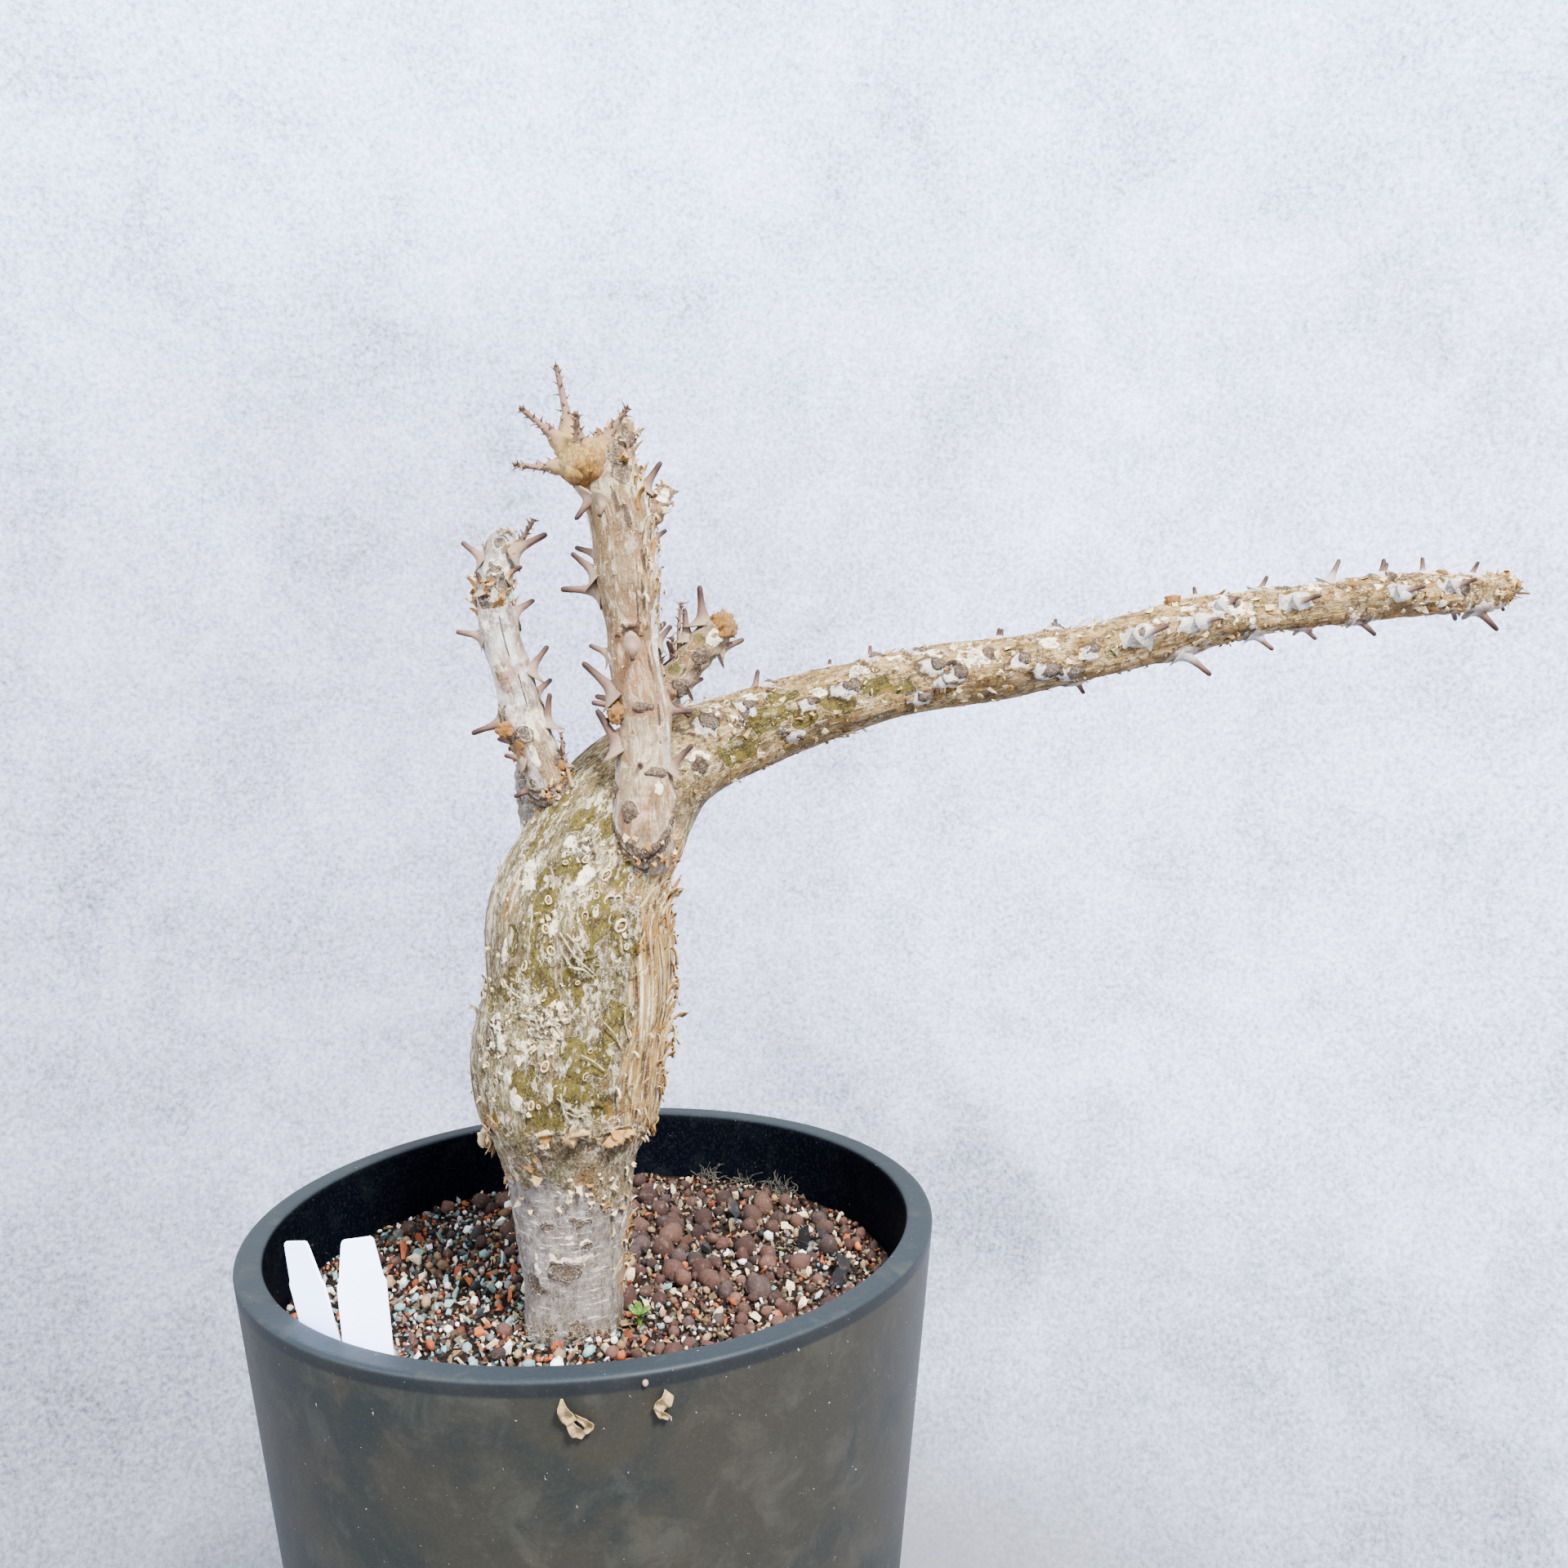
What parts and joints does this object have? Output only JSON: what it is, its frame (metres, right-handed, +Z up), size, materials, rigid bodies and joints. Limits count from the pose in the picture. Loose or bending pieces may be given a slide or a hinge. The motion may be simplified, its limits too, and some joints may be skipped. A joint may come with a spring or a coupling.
{
  "type": "potted sesamothamnus busseanus",
  "caption": "Spiny succulent with a swollen peeling trunk and one long side branch, standing in coarse grit in a round dark pot with blank labels.",
  "frame": {"origin": "centre of the pot's underside, on the surface it stands on", "axes": "+Z up along the pot's axis, -Y towards the front, +X towards the tip of the long branch"},
  "size_m": [0.4402, 0.2196, 0.4636],
  "materials": {
    "pot_clay": "matt, dusty, slightly mottled",
    "grit": "rough mixed stone, brick and clay grains",
    "trunk_bark": "pale papery bark peeling over olive green",
    "branch_bark": "flaky yellow-tan bark",
    "stem_bark": "smooth cream bark with tan patches",
    "bud_wool": "dry woolly bud",
    "label_plastic": "blank white plastic",
    "leaf": "fresh green leaf"
  },
  "bodies": {
    "root": {"pot": "pot_clay", "substrate": "grit", "trunk": "trunk_bark", "long_branch": "branch_bark", "centre_stem": "stem_bark", "left_stem": "stem_bark", "side_shoot": "branch_bark", "bud_cluster": "bud_wool", "label_left": "label_plastic", "label_right": "label_plastic", "seedling": "leaf"}
  },
  "joints": []
}
